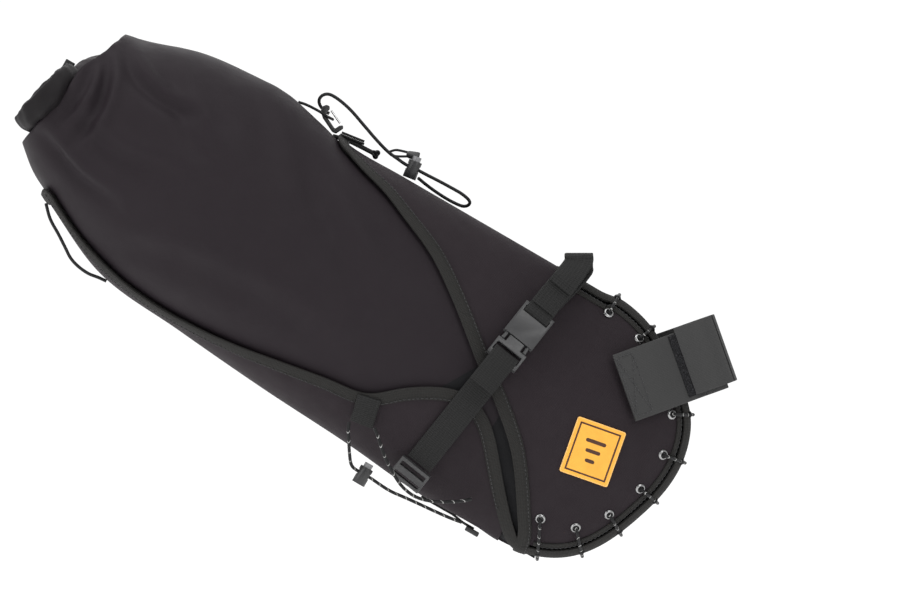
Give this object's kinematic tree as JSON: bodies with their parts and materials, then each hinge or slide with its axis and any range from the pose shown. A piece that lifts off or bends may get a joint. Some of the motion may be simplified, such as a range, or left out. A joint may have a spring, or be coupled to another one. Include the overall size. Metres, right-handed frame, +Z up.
{
  "type": "saddle bag",
  "caption": "Tapered laced holster that hangs under a bicycle saddle and carries a roll-top dry bag, held by buckled rail straps and a seatpost strap.",
  "frame": {"origin": "on the seatpost's axis, at the middle of the seatpost strap's height", "axes": "+X forwards along the bicycle, +Y to the bicycle's left, +Z up; the post leans back 19.5 degrees from +Z towards -X"},
  "size_m": [0.5147, 0.1634, 0.3737],
  "materials": {
    "dry_fabric": "satin",
    "holster_fabric": "matte",
    "binding_tape": "matte",
    "webbing": "matte",
    "buckle_plastic": "satin",
    "eyelet_metal": "satin",
    "steel_wire": "polished",
    "cord": "matte",
    "label_patch": "matte",
    "grip_rubber": "matte"
  },
  "bodies": {
    "holster": {"front_shell_left": "holster_fabric", "front_shell_right": "holster_fabric", "centre_gusset": "holster_fabric", "cradle_panel": "holster_fabric", "opening_binding": "binding_tape", "cradle_binding_left": "binding_tape", "cradle_binding_right": "binding_tape", "eyelet_strip_left": "eyelet_metal", "eyelet_strip_right": "eyelet_metal", "lacing_cord": "cord", "label": "label_patch", "rail_webbing_lower_left": "webbing", "rail_webbing_lower_right": "webbing", "ladder_lock_left": "buckle_plastic", "ladder_lock_right": "buckle_plastic", "rail_buckle_male_left": "buckle_plastic", "rail_buckle_male_right": "buckle_plastic", "post_strap_right": "webbing", "post_loop_patch": "binding_tape", "post_strap_left": "webbing", "post_pad": "grip_rubber", "lower_cord_tab": "webbing", "under_strap": "webbing", "under_strap_lock": "buckle_plastic", "hook_body": "buckle_plastic", "hook_webbing": "webbing", "shock_cord": "cord", "top_cord_lock_body": "buckle_plastic", "top_cord_lock_spring": "steel_wire", "lower_cord": "cord", "lower_cord_lock_body": "buckle_plastic", "lower_cord_lock_spring": "steel_wire", "rear_cord": "cord"},
    "dry_bag": {"dry_bag_body": "dry_fabric", "roll_closure": "dry_fabric", "roll_buckle_female": "buckle_plastic", "roll_tab_right": "webbing", "roll_tab_left": "webbing", "dry_bag_loop": "cord"},
    "roll_clip": {"roll_buckle_male": "buckle_plastic"},
    "rail_strap_left": {"rail_webbing_upper_left": "webbing", "rail_buckle_female_left": "buckle_plastic"},
    "buckle_prong_front_left": {"rail_buckle_prong_front_left": "buckle_plastic"},
    "buckle_prong_rear_left": {"rail_buckle_prong_rear_left": "buckle_plastic"},
    "rail_strap_right": {"rail_webbing_upper_right": "webbing", "rail_buckle_female_right": "buckle_plastic"},
    "buckle_prong_front_right": {"rail_buckle_prong_front_right": "buckle_plastic"},
    "buckle_prong_rear_right": {"rail_buckle_prong_rear_right": "buckle_plastic"},
    "strap_end": {"post_strap_end": "webbing", "post_hook_patch": "binding_tape"},
    "top_lock_button": {"top_cord_lock_button": "buckle_plastic"},
    "lower_lock_button": {"lower_cord_lock_button": "buckle_plastic"},
    "hook_gate": {"hook_gate": "steel_wire"}
  },
  "joints": [
    {"name": "dry_bag_slide", "type": "slide", "parent": "holster", "child": "dry_bag", "axis": [-0.866, 0, 0.5], "range_m": [0, 0.4], "deforming": ["cradle_panel", "cradle_binding_left", "cradle_binding_right", "rear_cord", "dry_bag_loop"]},
    {"name": "roll_clip_release", "type": "slide", "parent": "dry_bag", "child": "roll_clip", "axis": [0, 1, 0], "range_m": [0, 0.012], "deforming": ["roll_tab_left"]},
    {"name": "rail_strap_release_left", "type": "slide", "parent": "holster", "child": "rail_strap_left", "axis": [0.5997, -0.2756, 0.7512], "range_m": [0, 0.03]},
    {"name": "prong_squeeze_front_left", "type": "hinge", "parent": "holster", "child": "buckle_prong_front_left", "pos_m": [-0.12647, 0.06499, 0.00129], "axis": [0.172, 0.9613, 0.2154], "range_deg": [-7, 0], "stiffness_Nm_per_rad": 0.02, "springref_deg": 2.86},
    {"name": "prong_squeeze_rear_left", "type": "hinge", "parent": "holster", "child": "buckle_prong_rear_left", "pos_m": [-0.14131, 0.06499, 0.01315], "axis": [0.172, 0.9613, 0.2154], "range_deg": [0, 7]},
    {"name": "rail_strap_release_right", "type": "slide", "parent": "holster", "child": "rail_strap_right", "axis": [0.5997, 0.2756, 0.7512], "range_m": [0, 0.03]},
    {"name": "prong_squeeze_front_right", "type": "hinge", "parent": "holster", "child": "buckle_prong_front_right", "pos_m": [-0.12647, -0.06499, 0.00129], "axis": [-0.172, 0.9613, -0.2154], "range_deg": [-7, 0], "stiffness_Nm_per_rad": 0.02, "springref_deg": 2.86},
    {"name": "prong_squeeze_rear_right", "type": "hinge", "parent": "holster", "child": "buckle_prong_rear_right", "pos_m": [-0.14131, -0.06499, 0.01315], "axis": [-0.172, 0.9613, -0.2154], "range_deg": [0, 7]},
    {"name": "strap_end_peel", "type": "hinge", "parent": "holster", "child": "strap_end", "pos_m": [0.01664, -0.00919, 0.00589], "axis": [-0.3338, 0, 0.9426], "range_deg": [0, 120]},
    {"name": "top_cord_lock_press", "type": "slide", "parent": "holster", "child": "top_lock_button", "axis": [-0.3746, 0, -0.9272], "range_m": [0, 0.0025], "stiffness_N_per_m": 250, "springref_m": -0.002, "deforming": ["top_cord_lock_spring"]},
    {"name": "lower_cord_lock_press", "type": "slide", "parent": "holster", "child": "lower_lock_button", "axis": [-0.5, 0, -0.866], "range_m": [0, 0.0025], "stiffness_N_per_m": 250, "springref_m": -0.002, "deforming": ["lower_cord_lock_spring"]},
    {"name": "hook_gate_open", "type": "hinge", "parent": "holster", "child": "hook_gate", "pos_m": [-0.25673, 0, 0.16627], "axis": [0, 1, 0], "range_deg": [-20, 0], "stiffness_Nm_per_rad": 0.01, "springref_deg": 11.46, "deforming": ["dry_bag_loop"]}
  ],
  "couplings": [
    {"joint": "prong_squeeze_rear_left", "follows": "prong_squeeze_front_left", "ratio": -1},
    {"joint": "prong_squeeze_rear_right", "follows": "prong_squeeze_front_right", "ratio": -1}
  ]
}
